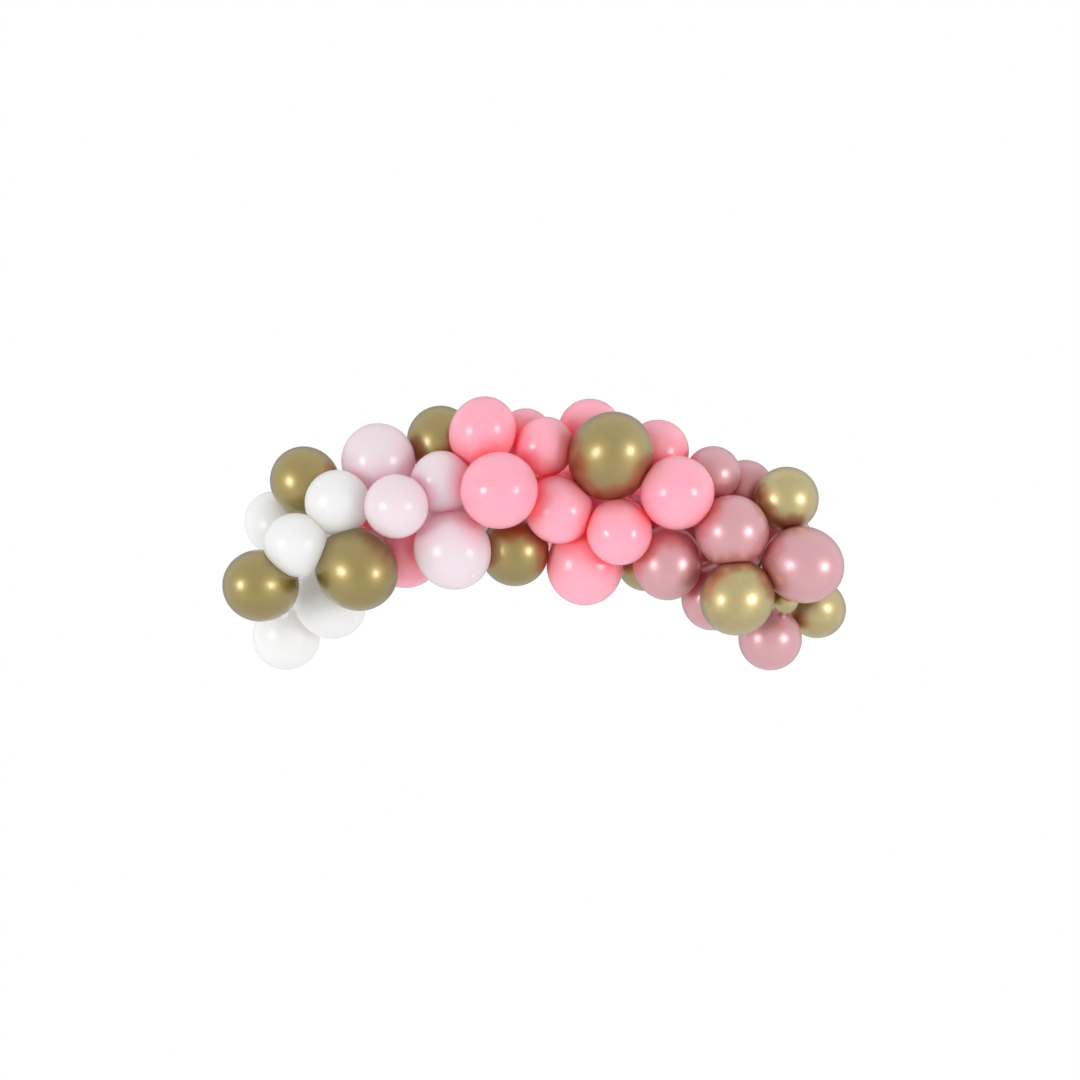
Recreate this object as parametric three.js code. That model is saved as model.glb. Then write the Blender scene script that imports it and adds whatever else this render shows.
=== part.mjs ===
// A balloon garland about two metres long: round latex balloons in white, blush, pink, pearl rose
// and chrome gold, each tied by its own neck into a hole of one arched plastic garland strip.
//
// Millimetres, +Z up, -Y is the front. The origin is the middle of the strip's back face, where
// the garland is hung.

import * as THREE from "three";
import { mergeVertices } from "three/addons/utils/BufferGeometryUtils.js";

// ---- garland strip -----------------------------------------------------------------------------
const CROWN_RADIUS = 1500; // radius of the arch's long middle curve
const CROWN_ANGLE = 22; // degrees either side of the top that the middle curve covers
const END_RADIUS = 450; // radius of the curve that turns down at each end
const END_ANGLE = 72; // slope of the strip at its tips, in degrees
const STRIP_WIDTH = 16;
const STRIP_THICKNESS = 1.2;
const STRIP_STEPS = 28; // straight steps along each edge of the strip
const HOLE_RADIUS = 5;
const HOLE_SIDES = 6;
const HOLE_PITCH = 40;
const HOLE_COUNT = 48;
const SPARE_HOLES = [-20]; // holes left free beside the place it is hung from

// ---- balloons ----------------------------------------------------------------------------------
const BODY_SIDES = 12;
const NECK_SIDES = BODY_SIDES / 2;
const RING_ANGLES = [36, 66, 90, 114, 140]; // rings of the body, in degrees from its crown
const CONTACT_GAP = 0.3; // between two balloons pressed together
const TAPER_LENGTH = 6; // from the end of the body to the top of its neck
const TAPER_RADIUS = 13;
const NECK_RADIUS = 4.5;
const NECK_IN_HOLE_RADIUS = 3.5;
const NECK_BEND = 10; // the neck turns into its hole this far off the strip
const KNOT_RADIUS = 8;
const KNOT_OFFSET = 9; // from the strip's far face to the middle of the knot
const LIP_RADIUS = 6;
const LIP_OFFSET = 16; // from the strip's far face to the end of the rolled lip

const FINISHES = {
  white: { color: 0xf3f2ef, roughness: 0.45, metalness: 0 },
  gold: { color: 0xb09a5c, roughness: 0.28, metalness: 1 },
  blush: { color: 0xf3dfe6, roughness: 0.42, metalness: 0 },
  pink: { color: 0xf9a3b4, roughness: 0.42, metalness: 0 },
  rose: { color: 0xd68b9b, roughness: 0.34, metalness: 0.35 },
};
const STRIP_FINISH = { color: 0xe8eef0, roughness: 0.25, metalness: 0 };

// The balloons in the order they are tied on, from the left tip to the right. Each takes the next
// free hole. Its middle lies at a distance along the strip, turned around the strip (0 is the
// front, 90 the outside of the arch, 180 the back, -90 the inside) and a reach away from it.
//  colour, along, turn, reach, width, length
const TYING_ORDER = [
  ["white", -1065, -173, 160, 220, 225],
  ["gold", -920, 28, 150, 227, 263],
  ["white", -885, -116, 150, 220, 240],
  ["white", -780, 121, 190, 200, 220],
  ["white", -770, 16, 170, 200, 205],
  ["white", -790, 180, 195, 210, 210],
  ["gold", -665, -44, 190, 255, 290],
  ["gold", -660, 83, 195, 220, 230],
  ["white", -610, 30, 155, 205, 215],
  ["pink", -490, -116, 145, 235, 265],
  ["pink", -565, 169, 180, 200, 205],
  ["blush", -465, 77, 165, 235, 240],
  ["blush", -445, 0, 205, 200, 215],
  ["blush", -285, -152, 170, 230, 230],
  ["blush", -305, -58, 205, 240, 260],
  ["blush", -295, 20, 125, 195, 200],
  ["gold", -280, 106, 185, 220, 230],
  ["pink", -155, 60, 205, 210, 235],
  ["pink", -120, -3, 215, 240, 250],
  ["pink", -90, 157, 145, 190, 210],
  ["gold", -85, -82, 205, 220, 225],
  ["pink", -35, 102, 170, 175, 175],
  ["pink", 20, 55, 150, 185, 200],
  ["pink", 70, -31, 140, 215, 225],
  ["pink", 115, -160, 177, 300, 300],
  ["pink", 150, 102, 195, 205, 205],
  ["pink", 180, -87, 240, 245, 260],
  ["gold", 215, 36, 185, 265, 305],
  ["pink", 280, -39, 190, 205, 220],
  ["pink", 350, 190, 200, 220, 225],
  ["pink", 350, 84, 160, 200, 200],
  ["gold", 405, -117, 215, 185, 195],
  ["pink", 430, 12, 190, 230, 245],
  ["rose", 475, -68, 190, 220, 240],
  ["rose", 520, 67, 150, 175, 175],
  ["rose", 550, -150, 170, 185, 200],
  ["rose", 620, 113, 150, 185, 195],
  ["rose", 635, -4, 145, 230, 235],
  ["gold", 710, 68, 190, 205, 205],
  ["rose", 750, -94, 205, 205, 220],
  ["rose", 760, -147, 140, 180, 180],
  ["rose", 855, 26, 160, 240, 270],
  ["gold", 815, -43, 235, 230, 250],
  ["rose", 785, 140, 155, 170, 185],
  ["gold", 925, -19, 73, 87, 96],
  ["gold", 1000, 154, 200, 190, 205],
  ["rose", 1065, -138, 130, 205, 205],
];

const FRONT = new THREE.Vector3(0, -1, 0);
const radians = THREE.MathUtils.degToRad;

// ---- the arch ----------------------------------------------------------------------------------
const crownSpan = CROWN_RADIUS * radians(CROWN_ANGLE);
const halfLength = crownSpan + END_RADIUS * radians(END_ANGLE - CROWN_ANGLE);

/** A point on the strip's centre line at a signed distance from its top, and the outward normal. */
function archAt(distance) {
  const side = Math.sign(distance) || 1;
  const length = Math.abs(distance);
  const onCrown = length <= crownSpan;
  const crownEnd = radians(CROWN_ANGLE);
  const slope = onCrown ? length / CROWN_RADIUS : crownEnd + (length - crownSpan) / END_RADIUS;
  const crownSlope = Math.min(slope, crownEnd);
  const across =
    CROWN_RADIUS * Math.sin(crownSlope) + END_RADIUS * (Math.sin(slope) - Math.sin(crownSlope));
  const drop =
    CROWN_RADIUS * (1 - Math.cos(crownSlope)) +
    END_RADIUS * (Math.cos(crownSlope) - Math.cos(slope));
  return {
    point: new THREE.Vector3(side * across, 0, -drop),
    normal: new THREE.Vector3(side * Math.sin(slope), 0, Math.cos(slope)),
  };
}

/** The distances along the strip of all its holes, from the left tip to the right. */
function holeDistances() {
  const first = (-HOLE_PITCH * (HOLE_COUNT - 1)) / 2;
  return Array.from({ length: HOLE_COUNT }, (_, index) => first + index * HOLE_PITCH);
}

/** The arched strip: a flat perforated band, square at its tips. */
function stripGeometry() {
  const offset = (distance, height) => {
    const { point, normal } = archAt(distance);
    return new THREE.Vector2(point.x + normal.x * height, point.z + normal.z * height);
  };
  const outer = [];
  const inner = [];
  for (let step = 0; step <= STRIP_STEPS; step += 1) {
    const distance = halfLength * ((2 * step) / STRIP_STEPS - 1);
    outer.push(offset(distance, STRIP_WIDTH / 2));
    inner.unshift(offset(distance, -STRIP_WIDTH / 2));
  }
  const outline = new THREE.Shape([...outer, ...inner]);
  for (const distance of holeDistances()) {
    const middle = offset(distance, 0);
    const rim = [];
    for (let side = 0; side < HOLE_SIDES; side += 1) {
      const angle = (2 * Math.PI * side) / HOLE_SIDES;
      rim.push(
        new THREE.Vector2(
          middle.x + HOLE_RADIUS * Math.cos(angle),
          middle.y + HOLE_RADIUS * Math.sin(angle),
        ),
      );
    }
    outline.holes.push(new THREE.Path(rim));
  }
  const band = new THREE.ExtrudeGeometry(outline, {
    depth: STRIP_THICKNESS,
    bevelEnabled: false,
    curveSegments: 1,
  });
  return band.rotateX(Math.PI / 2);
}

// ---- balloon places ----------------------------------------------------------------------------

/** Each balloon's middle, axis, hole and size, worked out from its row of the tying order. */
function placeBalloons() {
  const holes = holeDistances().filter((distance) => !SPARE_HOLES.includes(distance));
  const counts = {};
  return TYING_ORDER.map(([colour, along, turn, reach, width, length], index) => {
    const { point, normal } = archAt(along);
    const middle = point
      .clone()
      .addScaledVector(FRONT, reach * Math.cos(radians(turn)))
      .addScaledVector(normal, reach * Math.sin(radians(turn)));
    const hole = archAt(holes[index]).point;
    counts[colour] = (counts[colour] ?? 0) + 1;
    return {
      name: `${colour}_balloon_${counts[colour]}`,
      colour,
      middle,
      hole,
      axis: middle.clone().sub(hole).normalize(),
      width,
      length,
    };
  });
}

/** How far a balloon's free skin is from its middle in a direction. */
function skinDistance(balloon, direction) {
  const alongAxis = direction.dot(balloon.axis) / (balloon.length / 2);
  const acrossAxis = Math.sqrt(Math.max(0, 1 - direction.dot(balloon.axis) ** 2));
  return 1 / Math.hypot(alongAxis, acrossAxis / (balloon.width / 2));
}

/** The flats where a balloon presses on the others, each a direction and a distance. */
function contactFlats(balloon, balloons) {
  const flats = [];
  for (const other of balloons) {
    if (other === balloon) continue;
    const toOther = other.middle.clone().sub(balloon.middle);
    const spacing = toOther.length();
    const direction = toOther.divideScalar(spacing);
    const own = skinDistance(balloon, direction);
    const others = skinDistance(other, direction);
    const distance = (spacing ** 2 + own ** 2 - others ** 2) / (2 * spacing);
    flats.push({ direction, distance: distance - CONTACT_GAP / 2 });
  }
  return flats;
}

// ---- balloon solids ----------------------------------------------------------------------------

/** A ring of points around a centre, at right angles to a direction. */
function ring(centre, start, direction, radius, sides) {
  const points = [];
  for (let side = 0; side < sides; side += 1) {
    const spoke = start.clone().applyAxisAngle(direction, (2 * Math.PI * side) / sides);
    points.push(centre.clone().addScaledVector(spoke, radius));
  }
  return points;
}

/** The body's crown point and rings, flattened where it presses on other balloons. */
function bodyRings(balloon, start, flats) {
  const pressed = (direction) => {
    let distance = skinDistance(balloon, direction);
    for (const flat of flats) {
      const facing = direction.dot(flat.direction);
      if (facing > 0) distance = Math.min(distance, flat.distance / facing);
    }
    return balloon.middle.clone().addScaledVector(direction, distance);
  };
  const rings = RING_ANGLES.map((angle) => {
    // the ring's angle is taken on the round body and then stretched with its length
    const across = Math.sin(radians(angle)) * balloon.width;
    const along = Math.cos(radians(angle)) * balloon.length;
    const centre = balloon.axis.clone().multiplyScalar(along);
    const spokes = ring(centre, start, balloon.axis, across, BODY_SIDES);
    return spokes.map((spoke) => pressed(spoke.normalize()));
  });
  return { crown: pressed(balloon.axis), rings };
}

/** The neck's rings: out of the body, into the hole, the knot behind the strip and the lip. */
function neckRings(balloon, start) {
  const entersFromFront = balloon.middle.y <= 0;
  const into = new THREE.Vector3(0, entersFromFront ? 1 : -1, 0);
  const nearFace = balloon.hole.clone().setY(entersFromFront ? -STRIP_THICKNESS : 0);
  const farFace = balloon.hole.clone().setY(entersFromFront ? 0 : -STRIP_THICKNESS);
  const down = balloon.axis.clone().negate();
  const root = balloon.middle
    .clone()
    .addScaledVector(down, balloon.length / 2 + TAPER_LENGTH);
  const bend = nearFace.clone().addScaledVector(into, -NECK_BEND);
  const bendDirection = bend.clone().sub(root).normalize().add(into).normalize();
  const stations = [
    { centre: root, direction: down, radius: TAPER_RADIUS },
    { centre: bend, direction: bendDirection, radius: NECK_RADIUS },
    {
      centre: nearFace.clone().lerp(farFace, 0.5),
      direction: into,
      radius: NECK_IN_HOLE_RADIUS,
    },
    {
      centre: farFace.clone().addScaledVector(into, KNOT_OFFSET),
      direction: into,
      radius: KNOT_RADIUS,
    },
    {
      centre: farFace.clone().addScaledVector(into, LIP_OFFSET),
      direction: into,
      radius: LIP_RADIUS,
    },
  ];
  const spoke = start.clone();
  let heading = down;
  return stations.map(({ centre, direction, radius }) => {
    spoke.applyQuaternion(new THREE.Quaternion().setFromUnitVectors(heading, direction));
    heading = direction;
    // turned backwards around the heading, so every ring runs the same way round as the body's
    return ring(centre, spoke, direction.clone().negate(), radius, NECK_SIDES);
  });
}

/** One closed solid: crown, body, the step down to the neck, neck, knot and lip. */
function balloonGeometry(balloon, flats) {
  const sideways = new THREE.Vector3(0, 0, 1).cross(balloon.axis);
  const upright = sideways.lengthSq() < 0.01;
  const start = upright ? new THREE.Vector3(1, 0, 0).cross(balloon.axis) : sideways;
  start.normalize();
  const { crown, rings } = bodyRings(balloon, start, flats);
  const necks = neckRings(balloon, start);
  const positions = [];
  const triangle = (a, b, c) => positions.push(...a, ...b, ...c);
  const band = (upper, lower) => {
    upper.forEach((corner, side) => {
      const next = (side + 1) % upper.length;
      triangle(corner, lower[side], lower[next]);
      triangle(corner, lower[next], upper[next]);
    });
  };

  rings[0].forEach((corner, side) => triangle(crown, corner, rings[0][(side + 1) % BODY_SIDES]));
  for (let level = 1; level < rings.length; level += 1) band(rings[level - 1], rings[level]);
  const tail = rings.at(-1);
  necks[0].forEach((corner, side) => {
    const next = necks[0][(side + 1) % NECK_SIDES];
    const [first, second, third] = [0, 1, 2].map((step) => tail[(2 * side + step) % BODY_SIDES]);
    triangle(first, corner, second);
    triangle(second, corner, next);
    triangle(second, next, third);
  });
  for (let level = 1; level < necks.length; level += 1) band(necks[level - 1], necks[level]);
  const lip = necks.at(-1);
  for (let side = 1; side < NECK_SIDES - 1; side += 1) triangle(lip[0], lip[side + 1], lip[side]);

  const geometry = new THREE.BufferGeometry();
  geometry.setAttribute("position", new THREE.Float32BufferAttribute(positions, 3));
  return mergeVertices(geometry);
}

// ---- the garland -------------------------------------------------------------------------------
function piece(name, geometry, finish) {
  const mesh = new THREE.Mesh(geometry, new THREE.MeshStandardMaterial(finish));
  mesh.name = name;
  return mesh;
}

const garland = new THREE.Group();
garland.name = "balloon_garland";
garland.add(piece("garland_strip", stripGeometry(), STRIP_FINISH));

const balloons = placeBalloons();
for (const balloon of balloons) {
  const geometry = balloonGeometry(balloon, contactFlats(balloon, balloons));
  garland.add(piece(balloon.name, geometry, FINISHES[balloon.colour]));
}

export default garland;
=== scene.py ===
"""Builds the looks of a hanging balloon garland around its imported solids.

Everything is in metres, +Z up, and -Y is the front of the garland.
"""

import math
from types import SimpleNamespace

import bmesh
import bpy
import numpy as np
from bpy.props import (
    FloatProperty,
    FloatVectorProperty,
    IntProperty,
    PointerProperty,
)
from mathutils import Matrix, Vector


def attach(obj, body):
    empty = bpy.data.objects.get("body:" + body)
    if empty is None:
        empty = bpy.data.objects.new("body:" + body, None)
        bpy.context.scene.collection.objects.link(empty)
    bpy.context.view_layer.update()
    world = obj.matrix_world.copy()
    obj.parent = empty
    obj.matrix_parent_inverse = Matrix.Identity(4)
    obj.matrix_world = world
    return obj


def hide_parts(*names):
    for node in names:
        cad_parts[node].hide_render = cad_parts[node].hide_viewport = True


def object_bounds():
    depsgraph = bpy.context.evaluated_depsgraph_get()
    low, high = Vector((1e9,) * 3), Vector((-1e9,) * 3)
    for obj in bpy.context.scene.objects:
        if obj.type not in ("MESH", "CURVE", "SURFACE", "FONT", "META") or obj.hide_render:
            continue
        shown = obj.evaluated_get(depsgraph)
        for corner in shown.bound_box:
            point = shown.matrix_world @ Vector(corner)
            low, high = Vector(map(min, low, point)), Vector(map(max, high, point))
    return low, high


bl_info = {
    "name": "Balloon Garland",
    "version": (1, 0, 0),
    "blender": (4, 5, 0),
    "location": "View3D > Sidebar > Garland",
    "description": "Latex balloons, their clear strip and a plain studio, around the packed solids",
    "category": "Add Mesh",
}

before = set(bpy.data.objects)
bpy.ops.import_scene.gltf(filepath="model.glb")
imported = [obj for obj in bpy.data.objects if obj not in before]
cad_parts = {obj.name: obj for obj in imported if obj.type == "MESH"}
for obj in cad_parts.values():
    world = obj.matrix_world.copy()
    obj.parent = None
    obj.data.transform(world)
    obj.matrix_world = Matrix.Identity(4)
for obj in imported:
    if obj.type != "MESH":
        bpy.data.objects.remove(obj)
cad_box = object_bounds()

STRIP_NODE = "garland_strip"

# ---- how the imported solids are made, in metres -------------------------------------------------
STRIP_THICKNESS = 0.0012  # the strip lies from y = 0 back to -STRIP_THICKNESS
STRIP_WIDTH = 0.016
CROWN_RADIUS = 1.5  # radius of the arch's long middle curve
CROWN_ANGLE = math.radians(22)  # either side of the top that the middle curve covers
END_RADIUS = 0.45  # radius of the curve that turns down at each end
END_ANGLE = math.radians(72)  # slope of the strip at its tips
HOLE_PITCH = 0.04
HOLE_COUNT = 48
NECK_SIDES = 6
TAPER_LENGTH = 0.006  # from the end of a body to the top ring of its neck
LIP_OFFSET = 0.016  # from the strip's far face to the end of a lip
LIP_REACH = 0.013  # across a lip, with room to spare
NECK_CLEARANCE = 0.009  # the neck, knot and lip stay this close to the middle of their hole
KNOT_REACH = 0.018  # and this close to the strip
CONTACT_GAP = 0.0003  # between two balloons pressed together
CONTACT_REACH = 1.15  # flats further off than this many half sizes are left out
HOLE_RADIUS = 0.005
BEND_OFFSET = 0.010  # a neck turns into its hole this far off the strip

# ---- the visible strip -------------------------------------------------------------------------
STRIP_EDGE_RADIUS = 0.00025
RUN_STEPS = 6  # of the strip's bend from one hole's square to the next
TIP_STEPS = 8  # and from the last one to the tip

# ---- the visible balloon -----------------------------------------------------------------------
TAIL_ANGLE = math.radians(157)  # where the body starts to draw in to its neck, from the crown
NECK_RADIUS = 0.0048
NECK_IN_HOLE_RADIUS = 0.0036
NECK_TOP_RADIUS = 0.0095
KNOT_STATIONS = (
    # from the strip's far face, radius
    (0.0020, 0.0040),
    (0.0042, 0.0064),
    (0.0062, 0.0079),
    (0.0085, 0.0083),
    (0.0106, 0.0074),
    (0.0122, 0.0050),
    (0.0133, 0.0042),
)
LIP_BEAD_RADIUS = 0.0011
LIP_RADIUS = 0.0052
LIP_CUP_DEPTH = 0.0015  # of the hollow that closes the end of a lip
BEAD_ANGLES = range(-20, 261, 35)  # round a lip's bead from the strip's side, in degrees
NECK_STEP = 0.006  # between the rings of a neck
NECK_FADE = 0.014  # distance over which the top of a neck narrows
NECK_PULL = 0.3  # how straight a neck leaves its body, as a share of its length
BEND_PULL = 0.008  # how straight it enters its hole
BEND_STATIONS = (
    # share of the way from the bend to the hole, radius
    (0.35, 0.0045),
    (0.7, 0.0040),
    (1.0, NECK_IN_HOLE_RADIUS),
)
SHOULDER_PULL = 0.5  # how far the body keeps its slope as it draws in, as a share of the way
COLLAR_PULL = 0.28  # how far the top of the neck keeps its line, as a share of the way
FEWEST_PLEATS = 5
PLEAT_TWIST = 55.0  # turn of the pleats along a neck, in radians a metre
PLEAT_PHASE = 40.0  # radians a metre of height, so that no two balloons' pleats start alike
PLEAT_RUN = 0.02  # distance down a neck over which its pleats deepen
NECK_START = 1.02  # the tail and neck stand out past this many times the free body
LEAST_FACING = 0.05  # a spoke nearer to side-on than this never meets the flat
OUT_OF_REACH = 10.0  # the distance given to such a spoke

# ---- the latex, with thickness from 0 where it's stretched most to 1 in the neck ---------------
CROWN_DEPTH = 0.10
CROWN_SPOT_ANGLE = 14.0  # reach of the crown's thicker spot, in degrees
TAIL_DEPTH = 0.55
TAIL_DEPTH_ANGLES = (128.0, 175.0)  # from the crown, in degrees
SHOULDER_DEPTHS = (0.45, 0.85)  # at the start and the end of the drawing in
CREASE_SHADE_FADE = 0.03  # gap to a neighbour over which the painted crease shade fades out of the skin
CREASE_SHADE_DEPTH = 0.85  # how much of the painted crease shade shows where it's strongest
FLAKE_COLOUR = (0.95, 0.86, 0.86, 1.0)  # of the pearl's flakes
GOLD_PAINTED_LIGHT_TURN = (0.58, 0.8)  # the gold turns paler, as painted light, between these shares of the garland's width

# ---- the studio --------------------------------------------------------------------------------
FLOOR_DROP = 3.4
FLOOR_RADIUS = 6.0
FLOOR_SIDES = 96
FLOOR_COLOUR = (0.9, 0.9, 0.9)
SENSOR_WIDTH = 36.0
VIEW_MIDDLE = (0.008, -0.170)  # across and up
KEY_DISTANCE = 9.0
GLINT_DISTANCE = 8.5
LIGHT_ANGLE = math.radians(49)  # to each side of the camera
LIGHT_HEIGHT = -0.2
KEY_SIZE = 3.2
GLINT_SIZE = 2.8
# the white room's light by direction, from the camera's side (0) to the backdrop's (1)
ROOM_LIGHT = ((0.0, 0.50), (0.25, 0.62), (0.5, 0.8), (0.8, 1.0))
ROOM_REFLECTION = ((0.0, 0.86), (0.25, 0.92), (0.5, 1.0), (0.72, 1.0), (0.93, 0.4))
CEILING_LIFT = 1.05
LIGHT_BOUNCES = 12

# ================================================================================================
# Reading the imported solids
# ================================================================================================


def unit(vector):
    """The vector at length 1."""
    return vector / np.linalg.norm(vector)


def corners_of(node):
    """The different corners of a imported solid, in metres."""
    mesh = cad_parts[node].data
    places = np.empty(len(mesh.vertices) * 3, np.float32)
    mesh.vertices.foreach_get("co", places)
    return np.unique(places.reshape(-1, 3).astype(float).round(6), axis=0)


def lip_of(node, corners):
    """The middle of a balloon's lip, and +1 if its neck enters the strip from the front, or -1."""
    for into, level in ((1, LIP_OFFSET), (-1, -LIP_OFFSET - STRIP_THICKNESS)):
        ends = corners[np.abs(corners[:, 1] - level) < 1e-5]
        for corner in ends:
            lip = ends[np.linalg.norm(ends - corner, axis=1) < LIP_REACH]
            if len(lip) >= NECK_SIDES:
                return lip.mean(0), into
    raise RuntimeError(f"{node} has no lip where the strip's far face should have one")


def read_balloon(node):
    """A balloon's hole, axis, middle and half sizes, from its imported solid."""
    corners = corners_of(node)
    lip, into = lip_of(node, corners)
    hole = lip * (1, 0, 1)
    from_hole = np.hypot(corners[:, 0] - hole[0], corners[:, 2] - hole[2])
    in_hole = (from_hole < NECK_CLEARANCE) & (np.abs(corners[:, 1]) < KNOT_REACH)
    rest = corners[~in_hole]
    rest = rest[np.argsort(np.linalg.norm(rest - hole, axis=1))]
    neck_top = rest[:NECK_SIDES].mean(0)
    body = rest[NECK_SIDES:] - hole
    axis = unit(neck_top - hole)
    along = body @ axis
    across = np.linalg.norm(body - along[:, None] * axis, axis=1)
    widest = across.argmax()
    return SimpleNamespace(
        node=node,
        hole=hole,
        into=into,
        axis=axis,
        middle=hole + axis * along[widest],
        half_width=across[widest],
        half_length=along[widest] - np.linalg.norm(neck_top - hole) - TAPER_LENGTH,
    )


balloons = [read_balloon(node) for node in sorted(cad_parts) if "balloon" in node]


def skin_distance(balloon, directions):
    """How far a balloon's free skin is from its middle in each direction."""
    facing = directions @ balloon.axis
    across = np.sqrt(np.clip(1 - facing**2, 0, None))
    return 1 / np.hypot(facing / balloon.half_length, across / balloon.half_width)


def contact_flats(balloon):
    """Where a balloon presses on the others: (direction, distance) of each flat."""
    flats = []
    for other in balloons:
        if other is balloon:
            continue
        spacing = np.linalg.norm(other.middle - balloon.middle)
        direction = (other.middle - balloon.middle) / spacing
        own = skin_distance(balloon, direction)
        others = skin_distance(other, direction)
        distance = (spacing**2 + own**2 - others**2) / (2 * spacing) - CONTACT_GAP / 2
        if distance < CONTACT_REACH * max(balloon.half_width, balloon.half_length):
            flats.append((direction, distance))
    return flats


# ================================================================================================
# Meshes
# ================================================================================================


def soft_least(first, second, softness):
    """The lesser of two distances, rounded off where they meet and never more than either."""
    share = np.clip(0.5 + 0.5 * (second - first) / softness, 0, 1)
    return second * (1 - share) + first * share - softness * share * (1 - share)


def flat_distance(directions, direction, flat):
    """How far a flat that faces this direction is from the balloon's middle along each spoke."""
    facing = directions @ direction
    return np.where(facing > LEAST_FACING, flat / np.clip(facing, LEAST_FACING, None), OUT_OF_REACH)


def pressed_skin(balloon, directions, flats, softness):
    """Points of the skin in these directions, flattened softly where it presses on others."""
    distance = skin_distance(balloon, directions)
    for direction, flat in flats:
        distance = soft_least(distance, flat_distance(directions, direction, flat), softness)
    return balloon.middle + directions * distance[..., None]


def curve_point(start, start_pull, end_pull, end, share):
    """A point on the cubic curve from start to end with these two control points."""
    left = 1 - share
    return (
        left**3 * start
        + 3 * left**2 * share * start_pull
        + 3 * left * share**2 * end_pull
        + share**3 * end
    )


def smooth_step(value, low, high):
    """0 below low, 1 above high and a smooth rise between."""
    share = np.clip((value - low) / (high - low), 0, 1)
    return share * share * (3 - 2 * share)


def neck_path(balloon):
    """The middle line of a neck, knot and lip: (place, radius) of each ring."""
    into = np.array((0.0, balloon.into, 0.0))
    near = balloon.hole.copy()
    far = balloon.hole.copy()
    near[1] = -STRIP_THICKNESS if balloon.into > 0 else 0.0
    far[1] = 0.0 if balloon.into > 0 else -STRIP_THICKNESS
    top = balloon.middle - balloon.axis * (balloon.half_length + TAPER_LENGTH)
    bend = near - into * BEND_OFFSET
    gap = np.linalg.norm(bend - top)
    top_pull = top - balloon.axis * gap * NECK_PULL
    bend_pull = bend - into * BEND_PULL
    steps = max(6, round(gap / NECK_STEP))
    stations = []
    for step in range(1, steps + 1):
        share = step / steps
        place = curve_point(top, top_pull, bend_pull, bend, share)
        narrowing = math.exp(-share * gap / NECK_FADE)
        radius = NECK_RADIUS + (NECK_TOP_RADIUS - NECK_RADIUS) * narrowing
        stations.append((place, radius))
    for share, radius in BEND_STATIONS:
        stations.append((bend + (near - bend) * share, radius))
    stations.append((far, NECK_IN_HOLE_RADIUS))
    stations += [(far + into * offset, radius) for offset, radius in KNOT_STATIONS]
    bead = far + into * (LIP_OFFSET - LIP_BEAD_RADIUS)
    for angle in np.radians(BEAD_ANGLES):
        offset = -LIP_BEAD_RADIUS * math.cos(angle)
        radius = LIP_RADIUS + LIP_BEAD_RADIUS * math.sin(angle)
        stations.append((bead + into * offset, radius))
    return stations


def body_rings(balloon, spokes, flats, shape):
    """The rings of the body from its crown to its tail, and how thick the latex is at each."""
    rings = []
    depths = []
    for angle in np.linspace(0, TAIL_ANGLE, shape.rings + 1)[1:]:
        along = math.cos(angle) * balloon.half_length * balloon.axis
        directions = along + math.sin(angle) * balloon.half_width * spokes
        directions /= np.linalg.norm(directions, axis=1)[:, None]
        rings.append(pressed_skin(balloon, directions, flats, shape.contact_softness))
        turned = math.degrees(angle)
        crown_spot = CROWN_DEPTH * math.exp(-((turned / CROWN_SPOT_ANGLE) ** 2))
        depths.append(crown_spot + TAIL_DEPTH * smooth_step(turned, *TAIL_DEPTH_ANGLES))
    return rings, depths


def shoulder_rings(balloon, body, top, spokes, shape):
    """The rings where the body draws in to the top of its neck, and their thicknesses."""
    neck_top = top + spokes * NECK_TOP_RADIUS
    start = body[-1]
    run = start - body[-2]
    run /= np.linalg.norm(run, axis=1)[:, None]
    span = np.linalg.norm(neck_top - start, axis=1)[:, None]
    start_pull = start + run * span * SHOULDER_PULL
    end_pull = neck_top + balloon.axis * span * COLLAR_PULL
    shares = np.linspace(0, 1, shape.tail_rings + 1)[1:]
    rings = [curve_point(start, start_pull, end_pull, neck_top, share) for share in shares]
    low, high = SHOULDER_DEPTHS
    return rings, [low + (high - low) * share for share in shares]


def neck_rings(balloon, stations, top, turns, first, second, pleat_depth):
    """The rings of the neck, knot and lip, with the pleats that tying leaves in them."""
    pleats = FEWEST_PLEATS + int(abs(balloon.middle[0]) * 1000) % 3
    phase = balloon.middle[2] * PLEAT_PHASE
    heading = -balloon.axis
    centre_before = top
    travelled = 0.0
    rings = []
    for place, radius in stations:
        step = place - centre_before
        length = np.linalg.norm(step)
        if length > 1e-6 and step @ heading > 0:
            turned = unit(step)
            first, second = (carried(spoke, heading, turned) for spoke in (first, second))
            heading = turned
        travelled += length
        centre_before = place
        depth = pleat_depth * smooth_step(travelled, 0.0, PLEAT_RUN)
        pleat = 1 + depth * np.cos(pleats * turns + phase + travelled * PLEAT_TWIST)
        circle = np.cos(turns)[:, None] * first + np.sin(turns)[:, None] * second
        rings.append(place + circle * (radius * pleat)[:, None])
    return rings, heading


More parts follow.
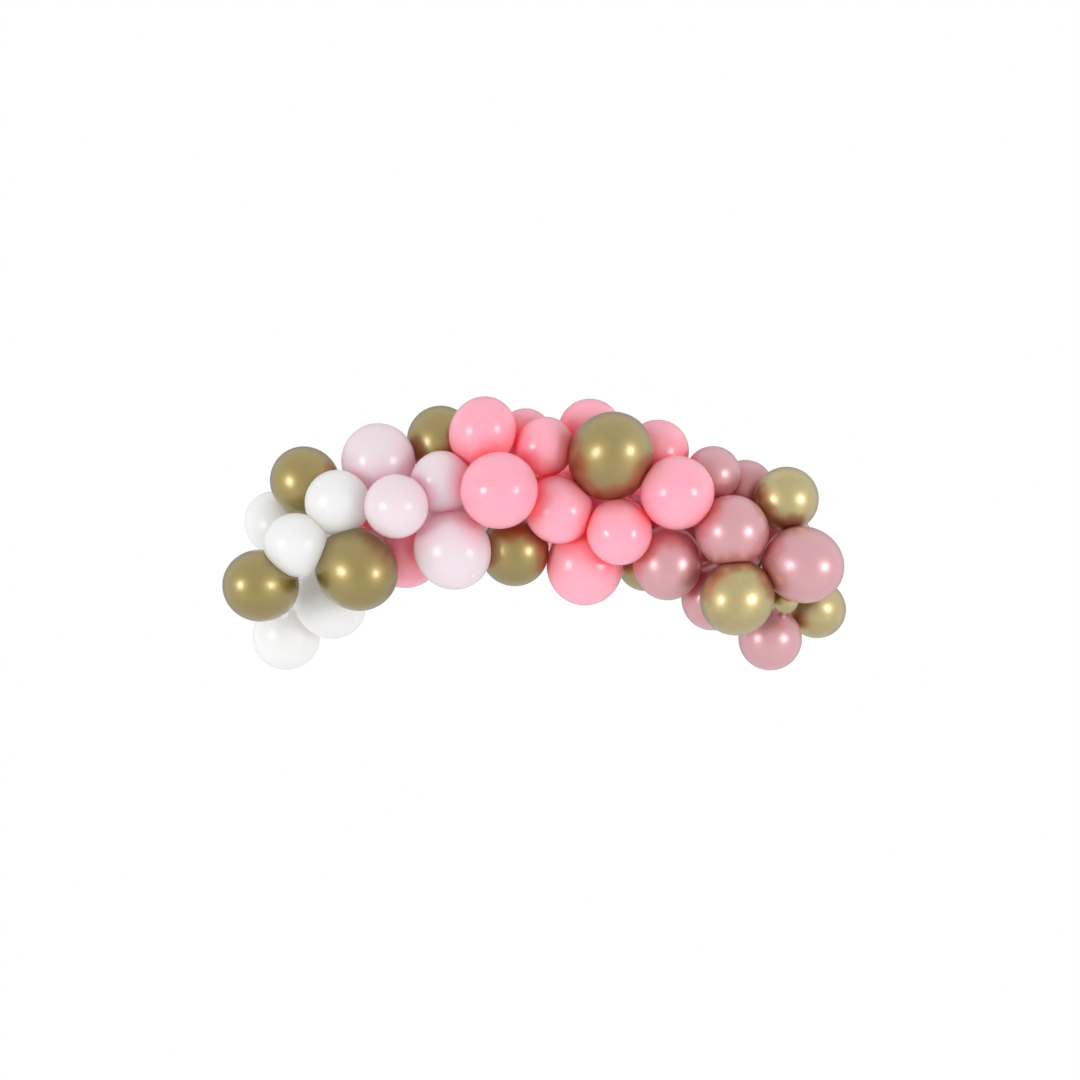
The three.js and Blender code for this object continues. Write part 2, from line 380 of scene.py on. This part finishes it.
def balloon_mesh(balloon, shape):
    """One closed skin: crown, body, neck, knot and rolled lip."""
    sideways = np.cross((0.0, 0.0, 1.0), balloon.axis)
    if np.linalg.norm(sideways) < 0.1:
        sideways = np.cross((1.0, 0.0, 0.0), balloon.axis)
    first = unit(sideways)
    second = np.cross(balloon.axis, first)
    turns = np.linspace(0, 2 * math.pi, shape.sides, endpoint=False)
    spokes = np.cos(turns)[:, None] * first + np.sin(turns)[:, None] * second

    flats = contact_flats(balloon)
    crown = pressed_skin(balloon, balloon.axis[None], flats, shape.contact_softness)
    top = balloon.middle - balloon.axis * (balloon.half_length + TAPER_LENGTH)
    stations = neck_path(balloon)
    body, body_depths = body_rings(balloon, spokes, flats, shape)
    shoulder, shoulder_depths = shoulder_rings(balloon, body, top, spokes, shape)
    neck, heading = neck_rings(balloon, stations, top, turns, first, second, shape.pleat_depth)

    rings = body + shoulder + neck
    depths = [CROWN_DEPTH, *body_depths, *shoulder_depths, *[1.0] * len(neck)]
    cup = stations[-1][0] - heading * LIP_CUP_DEPTH
    mesh = closed_tube(balloon.node, crown[0], rings, cup, depths)
    # painted crease shade: each point's share of the deeper contact colour, read by the material
    mark(mesh, "crease_shade", crease_shade_share(balloon, flats, mesh))
    return mesh


def carried(vector, before, after):
    """The vector turned by the least turn that takes one heading to another."""
    axis = np.cross(before, after)
    sine = np.linalg.norm(axis)
    if sine < 1e-9:
        return vector
    axis /= sine
    cosine = before @ after
    return (
        vector * cosine
        + np.cross(axis, vector) * sine
        + axis * (axis @ vector) * (1 - cosine)
    )


def closed_tube(name, start, rings, end, depths):
    """A smooth closed mesh of rings between two end points.

    The depths say how thick the latex is at the start and at each ring, and it is 1 at the end.
    """
    sides = len(rings[0])
    places = np.vstack([start[None], *rings, end[None]])
    last = len(places) - 1
    faces = []
    for side in range(sides):
        faces.append((0, 1 + side, 1 + (side + 1) % sides))
    for level in range(len(rings) - 1):
        upper = 1 + level * sides
        lower = upper + sides
        for side in range(sides):
            following = (side + 1) % sides
            faces.append((upper + side, lower + side, lower + following, upper + following))
    bottom = 1 + (len(rings) - 1) * sides
    for side in range(sides):
        faces.append((last, bottom + (side + 1) % sides, bottom + side))
    mesh = bpy.data.meshes.new(name)
    mesh.from_pydata(places.tolist(), [], faces)
    mesh.shade_smooth()
    counts = [1, *[sides] * len(rings), 1]
    mark(mesh, "thickness", np.repeat(np.array([*depths, 1.0]), counts))
    mesh.update()
    return mesh


def mark(mesh, name, values):
    """Gives each point of a mesh a number that its material can read."""
    attribute = mesh.attributes.new(name, "FLOAT", "POINT")
    attribute.data.foreach_set("value", values.astype(np.float32))


def crease_shade_share(balloon, flats, mesh):
    """Share of painted crease shade: 1 where the skin presses on a neighbour, fading to 0 away from
    it and on the neck.
    """
    places = np.empty(len(mesh.vertices) * 3, np.float32)
    mesh.vertices.foreach_get("co", places)
    spokes = places.reshape(-1, 3).astype(float) - balloon.middle
    reach = np.linalg.norm(spokes, axis=1)
    directions = spokes / reach[:, None]
    free = skin_distance(balloon, directions)
    apart = np.full(len(free), OUT_OF_REACH)
    for direction, flat in flats:
        apart = np.minimum(apart, flat_distance(directions, direction, flat) - free)
    share = np.exp(-np.clip(apart, 0, None) / CREASE_SHADE_FADE)
    return np.where(reach > NECK_START * free, 0.0, share)


def add_piece(name, mesh, material, node):
    """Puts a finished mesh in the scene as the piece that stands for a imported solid."""
    mesh.materials.append(material)
    piece = bpy.data.objects.new(name, mesh)
    bpy.context.scene.collection.objects.link(piece)
    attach(piece, "root")
    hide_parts(node)
    return piece


def add_balloons(colour, material):
    """Every balloon of one colour."""
    shape = bpy.context.scene.garland_shape
    of_colour = [balloon for balloon in balloons if balloon.node.startswith(colour + "_")]
    if not of_colour:
        raise RuntimeError(f"the packed garland has no {colour} balloons")
    for balloon in of_colour:
        number = balloon.node.rsplit("_", 1)[1]
        mesh = balloon_mesh(balloon, shape)
        add_piece(f"{colour}_latex_{number}", mesh, material, balloon.node)


# ================================================================================================
# Materials
# ================================================================================================


class Finish:
    """A node material in the making, with short ways to add the nodes that it needs."""

    def __init__(self, name):
        self.material = bpy.data.materials.new(name)
        self.material.use_nodes = True
        self.tree = self.material.node_tree
        self.surface = self.tree.nodes["Principled BSDF"]
        self.places = self.tree.nodes.new("ShaderNodeTexCoord").outputs["Object"]

    def node(self, kind, **settings):
        """A new node of this kind, with its settings."""
        made = self.tree.nodes.new(kind)
        for key, value in settings.items():
            setattr(made, key, value)
        return made

    def fill(self, socket, value):
        """Links or sets a socket."""
        if isinstance(value, bpy.types.NodeSocket):
            self.tree.links.new(value, socket)
        else:
            socket.default_value = value

    def noise(self, scale, detail=3.0, roughness=0.5, distortion=0.0):
        """Noise over the piece, from 0 to 1, with scale features in a metre."""
        made = self.node("ShaderNodeTexNoise")
        self.tree.links.new(self.places, made.inputs["Vector"])
        made.inputs["Scale"].default_value = scale
        made.inputs["Detail"].default_value = detail
        made.inputs["Roughness"].default_value = roughness
        made.inputs["Distortion"].default_value = distortion
        return made.outputs["Fac"]

    def attribute(self, name):
        """A number that the mesh carries at each point."""
        return self.node("ShaderNodeAttribute", attribute_name=name).outputs["Fac"]

    def math(self, operation, first, second):
        """The sum, product or other operation of two values."""
        made = self.node("ShaderNodeMath", operation=operation)
        self.fill(made.inputs[0], first)
        self.fill(made.inputs[1], second)
        return made.outputs[0]

    def spread(self, value, low, high, from_low=0.0, from_high=1.0):
        """The value stretched to run from low to high, and held to that range."""
        made = self.node("ShaderNodeMapRange")
        self.fill(made.inputs["Value"], value)
        made.inputs["From Min"].default_value = from_low
        made.inputs["From Max"].default_value = from_high
        made.inputs["To Min"].default_value = low
        made.inputs["To Max"].default_value = high
        return made.outputs["Result"]

    def mix(self, share, first, second):
        """The first colour at share 0, the second at 1."""
        made = self.node("ShaderNodeMix", data_type="RGBA")
        self.fill(made.inputs["Factor"], share)
        self.fill(made.inputs[6], first)
        self.fill(made.inputs[7], second)
        return made.outputs[2]

    def bump(self, height, distance, strength):
        """A fine grain in the skin, this deep in metres."""
        made = self.node("ShaderNodeBump")
        made.inputs["Strength"].default_value = strength
        made.inputs["Distance"].default_value = distance
        self.fill(made.inputs["Height"], height)
        return made.outputs["Normal"]

    def set(self, **values):
        """Fills the surface's sockets by name."""
        for key, value in values.items():
            self.fill(self.surface.inputs[key.replace("_", " ")], value)


def rgb(colour, factor=1.0):
    """A colour's red, green and blue as the four numbers of a socket, made lighter or darker."""
    return (*(channel * factor for channel in colour[:3]), 1.0)


def tinted(colour, red, green, blue):
    """The colour with each channel made lighter or darker by its own factor."""
    return (colour[0] * red, colour[1] * green, colour[2] * blue, 1.0)


def latex_skin(finish, thin, thick, crease_shade):
    """Colour, cloud and grain of dipped latex: deeper where it's thick, and painted crease shade
    where the skin presses on a neighbour.
    """
    cloud = finish.noise(scale=9.0, detail=2.0)
    grain = finish.noise(scale=420.0, detail=4.0, roughness=0.6)
    mottled = finish.mix(cloud, rgb(thin, 1.008), rgb(thin, 0.992))
    speckled = finish.mix(finish.math("MULTIPLY", grain, 0.3), mottled, rgb(thin, 0.94))
    deepened = finish.mix(finish.attribute("thickness"), speckled, thick)
    # painted crease shade: near each contact the skin turns towards a deeper, redder colour that
    # stands in for shade and bounce light between balloons
    share = finish.math("MULTIPLY", finish.attribute("crease_shade"), CREASE_SHADE_DEPTH)
    return finish.mix(share, deepened, crease_shade), cloud, grain


def uneven_roughness(finish, cloud, low, high, thicker):
    """Roughness that drifts with the cloud from low to high, and rises where latex is thicker."""
    drift = finish.spread(cloud, low, high)
    return finish.math(
        "ADD", drift, finish.math("MULTIPLY", finish.attribute("thickness"), thicker)
    )


def matt_latex(name, thin, thick, crease_shade, painted_glow, glow, reach, roughness):
    """Plain pastel latex.

    The emitted colour is a painted glow: it shines under any lamp in place of light that comes in
    from behind the balloon. The colour near contacts is painted crease shade. Light also runs
    inside the skin for reach, as far as glow says in each colour.
    """
    finish = Finish(name)
    colour, cloud, grain = latex_skin(finish, thin, thick, crease_shade)
    finish.set(
        Base_Color=colour,
        Roughness=uneven_roughness(finish, cloud, roughness - 0.025, roughness + 0.025, 0.12),
        Normal=finish.bump(grain, distance=0.00006, strength=0.5),
        IOR=1.52,
        Specular_IOR_Level=0.6,
        Subsurface_Weight=0.9,
        Subsurface_Radius=glow,
        Subsurface_Scale=reach,
        # painted glow: an emission that shines under any lamp, standing in for light from behind
        # the balloon
        Emission_Color=painted_glow,
        Emission_Strength=1.0,
    )
    return finish.material


def pearl_latex(name, thin, thick, crease_shade, painted_glow, roughness):
    """Pearl latex: fine bright flakes under a satin skin, with painted crease shade near contacts
    and a painted glow that stands in for light from behind.
    """
    finish = Finish(name)
    colour, cloud, grain = latex_skin(finish, thin, thick, crease_shade)
    specks = finish.noise(scale=1500.0, detail=2.0, roughness=0.7)
    flakes = finish.spread(specks, 0.0, 1.0, from_low=0.35, from_high=0.65)
    shimmer = finish.mix(finish.math("MULTIPLY", flakes, 0.12), colour, FLAKE_COLOUR)
    finish.set(
        Base_Color=shimmer,
        Roughness=uneven_roughness(finish, cloud, roughness - 0.03, roughness + 0.03, 0.1),
        Metallic=0.35,
        Normal=finish.bump(grain, distance=0.00006, strength=0.5),
        IOR=1.52,
        Coat_Weight=0.8,
        Coat_Roughness=0.27,
        # painted glow: an emission that shines under any lamp, standing in for light from behind
        # the balloon
        Emission_Color=painted_glow,
        Emission_Strength=1.0,
    )
    return finish.material


def chrome_latex(name, deep, pale, roughness):
    """Chrome latex: a hazy mirror skin, deeper in colour to the left and paler to the right, the
    change being painted light.
    """
    finish = Finish(name)
    apart = finish.node("ShaderNodeSeparateXYZ")
    finish.fill(apart.inputs[0], finish.places)
    left, width = cad_box[0].x, cad_box[1].x - cad_box[0].x
    turn_start, turn_end = (left + share * width for share in GOLD_PAINTED_LIGHT_TURN)
    # painted light: the gold turns paler towards the right, standing in for light falling unevenly
    # across the garland
    painted_light_share = finish.spread(apart.outputs["X"], 0.0, 1.0, turn_start, turn_end)
    metal = finish.mix(painted_light_share, deep, pale)
    haze = finish.noise(scale=22.0, detail=4.0, roughness=0.6)
    cloud = finish.spread(haze, 0.0, 1.0, from_low=0.3, from_high=0.7)
    specks = finish.noise(scale=650.0, detail=3.0, roughness=0.6)
    grain = finish.spread(specks, 0.0, 1.0, from_low=0.25, from_high=0.75)
    hazed = finish.mix(finish.math("MULTIPLY", cloud, 0.25), metal, rgb(deep, 0.86))
    speckled = finish.mix(finish.math("MULTIPLY", grain, 0.15), hazed, rgb(deep, 0.75))
    neckward = finish.math("MULTIPLY", finish.attribute("thickness"), 0.8)
    finish.set(
        Base_Color=finish.mix(neckward, speckled, rgb(deep, 0.5)),
        Roughness=uneven_roughness(finish, cloud, roughness - 0.03, roughness + 0.04, 0.15),
        Metallic=1.0,
        Normal=finish.bump(grain, distance=0.00004, strength=0.5),
        Coat_Weight=1.0,
        Coat_Roughness=0.26,
        Coat_IOR=1.7,
    )
    return finish.material


def clear_plastic(name, tint):
    """The strip's clear plastic, a little hazy and scuffed."""
    finish = Finish(name)
    patches = finish.noise(scale=160.0, detail=5.0, roughness=0.65)
    haze = finish.spread(patches, 0.0, 1.0, from_low=0.3, from_high=0.7)
    scuffs = finish.noise(scale=900.0, detail=2.0, roughness=0.5, distortion=0.6)
    finish.set(
        Base_Color=finish.mix(haze, tint, rgb(tint, 0.93)),
        Roughness=0.14,
        IOR=1.49,
        Transmission_Weight=0.85,
        Normal=finish.bump(scuffs, distance=0.00005, strength=0.6),
    )
    return finish.material


# ================================================================================================
# The strip
# ================================================================================================


def arch_at(along):
    """The strip's middle line at a distance from its top: its place, and its outward normal."""
    side = math.copysign(1.0, along)
    distance = abs(along)
    crown_length = CROWN_RADIUS * CROWN_ANGLE
    if distance <= crown_length:
        slope = distance / CROWN_RADIUS
        outward = np.array((math.sin(slope), 0.0, math.cos(slope)))
        place = CROWN_RADIUS * (outward - (0, 0, 1))
    else:
        slope = CROWN_ANGLE + (distance - crown_length) / END_RADIUS
        outward = np.array((math.sin(slope), 0.0, math.cos(slope)))
        shoulder = np.array((math.sin(CROWN_ANGLE), 0.0, math.cos(CROWN_ANGLE)))
        place = (CROWN_RADIUS - END_RADIUS) * shoulder - (0, 0, CROWN_RADIUS)
        place = place + END_RADIUS * outward
    mirrored = np.array((side, 1.0, 1.0))
    return place * mirrored, outward * mirrored


def strip_cell(sheet, corner_of, middle, sides):
    """A square piece of the strip's sheet with a round hole in its middle."""
    half = STRIP_WIDTH / 2
    rim = []
    square = []
    for step in range(sides):
        angle = 2 * math.pi * step / sides
        along, across = math.cos(angle), math.sin(angle)
        reach = half / max(abs(along), abs(across))
        rim.append(corner_of(middle + HOLE_RADIUS * along, HOLE_RADIUS * across))
        square.append(corner_of(middle + reach * along, reach * across))
    for step in range(sides):
        following = (step + 1) % sides
        sheet.faces.new((rim[step], square[step], square[following], rim[following]))


def strip_mesh(sides):
    """The perforated strip: a sheet bent into the arch, with rounded edges and round holes."""
    half = STRIP_WIDTH / 2
    half_length = CROWN_RADIUS * CROWN_ANGLE + END_RADIUS * (END_ANGLE - CROWN_ANGLE)
    sheet = bmesh.new()
    corners = {}

    def corner_of(along, across):
        key = (round(along, 7), round(across, 7))
        if key not in corners:
            place, outward = arch_at(along)
            corners[key] = sheet.verts.new(place + outward * across)
        return corners[key]

    eighth = sides // 8
    rows = [half * math.tan(2 * math.pi * step / sides) for step in range(-eighth, eighth + 1)]

    def plain_run(start, end, steps):
        for step in range(steps):
            near = start + (end - start) * step / steps
            far = start + (end - start) * (step + 1) / steps
            for low, high in zip(rows, rows[1:]):
                face = ((near, low), (far, low), (far, high), (near, high))
                sheet.faces.new([corner_of(*corner) for corner in face])

    first = -HOLE_PITCH * (HOLE_COUNT - 1) / 2
    plain_run(-half_length, first - half, TIP_STEPS)
    for number in range(HOLE_COUNT):
        middle = first + number * HOLE_PITCH
        strip_cell(sheet, corner_of, middle, sides)
        if number < HOLE_COUNT - 1:
            plain_run(middle + half, middle + HOLE_PITCH - half, RUN_STEPS)
    plain_run(-first + half, half_length, TIP_STEPS)

    bmesh.ops.recalc_face_normals(sheet, faces=sheet.faces)
    if sheet.faces[0].normal.y < 0:
        bmesh.ops.reverse_faces(sheet, faces=sheet.faces)
    front = bmesh.ops.extrude_face_region(sheet, geom=sheet.faces[:])["geom"]
    for corner in front:
        if isinstance(corner, bmesh.types.BMVert):
            corner.co.y -= STRIP_THICKNESS
    bmesh.ops.recalc_face_normals(sheet, faces=sheet.faces)
    sharp = [edge for edge in sheet.edges if edge.calc_face_angle(0.0) > math.radians(60)]
    bmesh.ops.bevel(
        sheet, geom=sharp, offset=STRIP_EDGE_RADIUS, offset_type="OFFSET", segments=2, profile=0.5
    )
    mesh = bpy.data.meshes.new(STRIP_NODE)
    sheet.to_mesh(mesh)
    sheet.free()
    mesh.shade_smooth()
    return mesh


# ================================================================================================
# Settings
# ================================================================================================


class GarlandShape(bpy.types.PropertyGroup):
    """How finely the balloons are made."""

    sides: IntProperty(
        name="Sides", description="Sides of a balloon's rings", default=80, min=24, max=128
    )
    rings: IntProperty(
        name="Rings", description="Rings from crown to tail", default=76, min=16, max=96
    )
    tail_rings: IntProperty(
        name="Tail rings", description="Rings where the body draws in", default=8, min=3, max=24
    )
    hole_sides: IntProperty(
        name="Hole sides",
        description="Sides of a hole in the strip, a multiple of eight",
        default=24,
        min=8,
        max=64,
        step=8,
    )
    contact_softness: FloatProperty(
        name="Contact softness",
        description="How softly a balloon's skin turns into a flat against its neighbour",
        default=0.004,
        min=0.0005,
        max=0.02,
        unit="LENGTH",
    )
    pleat_depth: FloatProperty(
        name="Pleat depth",
        description="Depth of the pleats in a tied neck, as a share of its radius",
        default=0.12,
        min=0.0,
        max=0.3,
        subtype="FACTOR",
    )


def colour_setting(name, description, default):
    """A colour property with plain limits."""
    return FloatVectorProperty(
        name=name,
        description=description,
        default=default,
        min=0.0,
        max=1.0,
        size=3,
        subtype="COLOR",
    )


class GarlandColours(bpy.types.PropertyGroup):
    """The colours of the latex and the strip."""

    white: colour_setting("White", "Stretched white latex", (0.675, 0.685, 0.685))
    blush: colour_setting("Blush", "Stretched blush latex", (0.70, 0.675, 0.715))
    pink: colour_setting("Pink", "Stretched pink latex", (0.95, 0.445, 0.55))
    rose: colour_setting("Pearl rose", "Stretched pearl rose latex", (0.59, 0.305, 0.335))
    gold_deep: colour_setting("Deep gold", "Chrome gold at the left", (0.325, 0.243, 0.058))
    # the change from deep to pale gold across the garland is painted light
    gold_pale: colour_setting("Pale gold", "Chrome gold at the right", (0.53, 0.43, 0.19))
    strip: colour_setting("Strip", "Clear strip", (0.93, 0.96, 0.97))


class GarlandStudio(bpy.types.PropertyGroup):
    """The camera, lights and floor."""

    camera_distance: FloatProperty(
        name="Camera distance",
        description="From the strip to the camera",
        default=7.0,
        min=1.0,
        unit="LENGTH",
    )
    view_width: FloatProperty(
        name="View width",
        description="Width that the camera takes in at the strip",
        default=3.456,
        min=0.5,
        unit="LENGTH",
    )
    key_power: FloatProperty(
        name="Key power",
        description="Power of each soft key light",
        default=270.0,
        unit="POWER",
    )
    glint_power: FloatProperty(
        name="Glint power",
        description="Power of each light seen in the skins",
        default=190.0,
        unit="POWER",
    )


# ================================================================================================
# Operators
# ================================================================================================


class GARLAND_OT_white(bpy.types.Operator):
    """Add the white balloons"""

    bl_idname = "garland.white_balloons"
    bl_label = "White Balloons"

    def execute(self, context):
        white = rgb(context.scene.garland_colours.white)
        # the contact colour is painted crease shade and bounce colour, and the emitted grey is a
        # painted glow standing in for light from behind
        material = matt_latex(
            "white latex",
            thin=white,
            thick=rgb(white, 0.92),
            crease_shade=tinted(white, 1.0, 0.96, 0.92),
            painted_glow=(0.115, 0.115, 0.113, 1.0),
            glow=(1.0, 0.95, 0.9),
            reach=0.18,
            roughness=0.34,
        )
        add_balloons("white", material)
        return {"FINISHED"}


class GARLAND_OT_blush(bpy.types.Operator):
    """Add the blush balloons"""

    bl_idname = "garland.blush_balloons"
    bl_label = "Blush Balloons"

    def execute(self, context):
        blush = rgb(context.scene.garland_colours.blush)
        # the contact colour is painted crease shade and bounce colour, and the emitted pink is a
        # painted glow standing in for light from behind
        material = matt_latex(
            "blush latex",
            thin=blush,
            thick=tinted(blush, 0.97, 0.8, 0.85),
            crease_shade=tinted(blush, 1.04, 0.7, 0.76),
            painted_glow=(0.085, 0.035, 0.04, 1.0),
            glow=(1.0, 0.42, 0.46),
            reach=0.16,
            roughness=0.26,
        )
        add_balloons("blush", material)
        return {"FINISHED"}


class GARLAND_OT_pink(bpy.types.Operator):
    """Add the pink balloons"""

    bl_idname = "garland.pink_balloons"
    bl_label = "Pink Balloons"

    def execute(self, context):
        pink = rgb(context.scene.garland_colours.pink)
        # the contact colour is painted crease shade and bounce colour, and the emitted red is a
        # painted glow standing in for light from behind
        material = matt_latex(
            "pink latex",
            thin=pink,
            thick=tinted(pink, 0.92, 0.6, 0.68),
            crease_shade=tinted(pink, 1.0, 0.5, 0.42),
            painted_glow=(0.05, 0.0, 0.004, 1.0),
            glow=(1.0, 0.12, 0.1),
            reach=0.08,
            roughness=0.22,
        )
        add_balloons("pink", material)
        return {"FINISHED"}


class GARLAND_OT_rose(bpy.types.Operator):
    """Add the pearl rose balloons"""

    bl_idname = "garland.rose_balloons"
    bl_label = "Pearl Rose Balloons"

    def execute(self, context):
        rose = rgb(context.scene.garland_colours.rose)
        # the contact colour is painted crease shade and bounce colour, and the emitted red is a
        # painted glow standing in for light from behind
        material = pearl_latex(
            "pearl rose latex",
            thin=rose,
            thick=tinted(rose, 0.75, 0.6, 0.6),
            crease_shade=tinted(rose, 0.85, 0.45, 0.38),
            painted_glow=(0.045, 0.0, 0.003, 1.0),
            roughness=0.36,
        )
        add_balloons("rose", material)
        return {"FINISHED"}


class GARLAND_OT_gold(bpy.types.Operator):
    """Add the chrome gold balloons"""

    bl_idname = "garland.gold_balloons"
    bl_label = "Chrome Gold Balloons"

    def execute(self, context):
        golds = context.scene.garland_colours
        # the paler gold at the right is painted light across the garland
        material = chrome_latex(
            "chrome gold latex",
            deep=rgb(golds.gold_deep),
            pale=rgb(golds.gold_pale),
            roughness=0.43,
        )
        add_balloons("gold", material)
        return {"FINISHED"}


class GARLAND_OT_strip(bpy.types.Operator):
    """Add the perforated strip that carries the balloons"""

    bl_idname = "garland.strip"
    bl_label = "Garland Strip"

    def execute(self, context):
        mesh = strip_mesh(context.scene.garland_shape.hole_sides)
        material = clear_plastic("clear plastic", rgb(context.scene.garland_colours.strip))
        add_piece("perforated_strip", mesh, material, STRIP_NODE)
        return {"FINISHED"}


class GARLAND_OT_studio(bpy.types.Operator):
    """Add the floor, the lights and the camera"""

    bl_idname = "garland.studio"
    bl_label = "Studio"

    def execute(self, context):
        add_floor()
        add_daylight()
        studio = context.scene.garland_studio
        for side in (-1, 1):
            add_softbox("key", side, studio.key_power, KEY_SIZE, KEY_DISTANCE, "glossy")
            add_softbox("glint", side, studio.glint_power, GLINT_SIZE, GLINT_DISTANCE, "diffuse")
        add_camera()
        context.scene.view_settings.view_transform = "Standard"
        context.scene.cycles.diffuse_bounces = LIGHT_BOUNCES
        context.scene.cycles.max_bounces = 2 * LIGHT_BOUNCES
        return {"FINISHED"}


def add_floor():
    """A wide pale disc far below the garland."""
    turns = np.linspace(0, 2 * math.pi, FLOOR_SIDES, endpoint=False)
    rim = [(FLOOR_RADIUS * math.cos(t), FLOOR_RADIUS * math.sin(t), -FLOOR_DROP) for t in turns]
    mesh = bpy.data.meshes.new("floor")
    mesh.from_pydata(rim, [], [tuple(range(FLOOR_SIDES))])
    finish = Finish("pale floor")
    cloud = finish.noise(1.2, 3.0)
    finish.set(
        Base_Color=finish.mix(cloud, rgb(FLOOR_COLOUR), rgb(FLOOR_COLOUR, 0.98)),
        Roughness=finish.spread(finish.noise(30.0), 0.65, 0.75),
    )
    mesh.materials.append(finish.material)
    floor = bpy.data.objects.new("floor", mesh)
    bpy.context.scene.collection.objects.link(floor)


def room_background(tree, direction, stops):
    """A background whose light goes from the camera's side to the backdrop's by these stops."""
    link = tree.links.new
    apart = tree.nodes.new("ShaderNodeSeparateXYZ")
    link(direction, apart.inputs[0])
    depth = tree.nodes.new("ShaderNodeMapRange")
    depth.inputs["From Min"].default_value = -1.0
    link(apart.outputs["Y"], depth.inputs["Value"])
    ramp = tree.nodes.new("ShaderNodeValToRGB")
    while len(ramp.color_ramp.elements) < len(stops):
        ramp.color_ramp.elements.new(0.5)
    for element, (place, level) in zip(ramp.color_ramp.elements, stops):
        element.position = place
        element.color = (level, level, level, 1.0)
    link(depth.outputs["Result"], ramp.inputs["Fac"])
    height = tree.nodes.new("ShaderNodeMapRange")
    height.inputs["To Min"].default_value = 1.0
    height.inputs["To Max"].default_value = CEILING_LIFT
    link(apart.outputs["Z"], height.inputs["Value"])
    lifted = tree.nodes.new("ShaderNodeVectorMath")
    lifted.operation = "SCALE"
    link(ramp.outputs["Color"], lifted.inputs[0])
    link(height.outputs["Result"], lifted.inputs["Scale"])
    background = tree.nodes.new("ShaderNodeBackground")
    link(lifted.outputs[0], background.inputs["Color"])
    return background


def add_daylight():
    """A white room: softly shaded light, brighter in reflections, and plain white behind."""
    world = bpy.data.worlds.new("white studio")
    bpy.context.scene.world = world
    world.use_nodes = True
    tree = world.node_tree
    tree.nodes.clear()
    direction = tree.nodes.new("ShaderNodeTexCoord").outputs["Generated"]
    path = tree.nodes.new("ShaderNodeLightPath")
    shown = room_background(tree, direction, ROOM_LIGHT).outputs[0]
    seen = tree.nodes.new("ShaderNodeBackground")
    seen.inputs["Color"].default_value = (1.0, 1.0, 1.0, 1.0)
    reflected = room_background(tree, direction, ROOM_REFLECTION).outputs[0]
    for ray, background in (("Is Glossy Ray", reflected), ("Is Camera Ray", seen.outputs[0])):
        choice = tree.nodes.new("ShaderNodeMixShader")
        tree.links.new(path.outputs[ray], choice.inputs["Fac"])
        tree.links.new(shown, choice.inputs[1])
        tree.links.new(background, choice.inputs[2])
        shown = choice.outputs[0]
    output = tree.nodes.new("ShaderNodeOutputWorld")
    tree.links.new(shown, output.inputs["Surface"])


def add_softbox(name, side, power, size, distance, unseen):
    """A round soft light to one side of the camera, left out of one kind of ray."""
    light = bpy.data.lights.new(f"{name} light", "AREA")
    light.shape = "DISK"
    light.size = size
    light.energy = power
    holder = bpy.data.objects.new(f"{name} light {'left' if side < 0 else 'right'}", light)
    bpy.context.scene.collection.objects.link(holder)
    across = side * distance * math.sin(LIGHT_ANGLE)
    place = Vector((across, -distance * math.cos(LIGHT_ANGLE), LIGHT_HEIGHT))
    holder.location = place
    aim = Vector((0, 0, VIEW_MIDDLE[1])) - place
    holder.rotation_euler = aim.to_track_quat("-Z", "Y").to_euler()
    holder.visible_camera = False
    setattr(holder, f"visible_{unseen}", False)


def add_camera():
    """The camera, level and square to the garland."""
    studio = bpy.context.scene.garland_studio
    camera = bpy.data.cameras.new("camera")
    camera.sensor_width = SENSOR_WIDTH
    camera.lens = camera.sensor_width * studio.camera_distance / studio.view_width
    holder = bpy.data.objects.new("camera", camera)
    holder.location = (VIEW_MIDDLE[0], -studio.camera_distance, VIEW_MIDDLE[1])
    holder.rotation_euler = (math.pi / 2, 0, 0)
    bpy.context.scene.collection.objects.link(holder)
    bpy.context.scene.camera = holder


OPERATORS = (
    GARLAND_OT_white,
    GARLAND_OT_blush,
    GARLAND_OT_pink,
    GARLAND_OT_rose,
    GARLAND_OT_gold,
    GARLAND_OT_strip,
    GARLAND_OT_studio,
)
SETTINGS = {
    "garland_shape": GarlandShape,
    "garland_colours": GarlandColours,
    "garland_studio": GarlandStudio,
}


class GARLAND_PT_panel(bpy.types.Panel):
    """The garland's settings and its operators."""

    bl_label = "Balloon Garland"
    bl_idname = "GARLAND_PT_panel"
    bl_space_type = "VIEW_3D"
    bl_region_type = "UI"
    bl_category = "Garland"

    def draw(self, context):
        for name, group in SETTINGS.items():
            box = self.layout.box()
            for setting in group.__annotations__:
                box.prop(getattr(context.scene, name), setting)
        for operator in OPERATORS:
            self.layout.operator(operator.bl_idname)


def register():
    for group in SETTINGS.values():
        bpy.utils.register_class(group)
    for name, group in SETTINGS.items():
        setattr(bpy.types.Scene, name, PointerProperty(type=group))
    for operator in OPERATORS:
        bpy.utils.register_class(operator)
    bpy.utils.register_class(GARLAND_PT_panel)


def unregister():
    bpy.utils.unregister_class(GARLAND_PT_panel)
    for operator in reversed(OPERATORS):
        bpy.utils.unregister_class(operator)
    for name, group in SETTINGS.items():
        delattr(bpy.types.Scene, name)
        bpy.utils.unregister_class(group)


def main():
    """Builds the whole garland."""
    register()
    bpy.ops.garland.white_balloons()
    bpy.ops.garland.blush_balloons()
    bpy.ops.garland.pink_balloons()
    bpy.ops.garland.rose_balloons()
    bpy.ops.garland.gold_balloons()
    bpy.ops.garland.strip()
    bpy.ops.garland.studio()


if __name__ == "__main__":
    main()
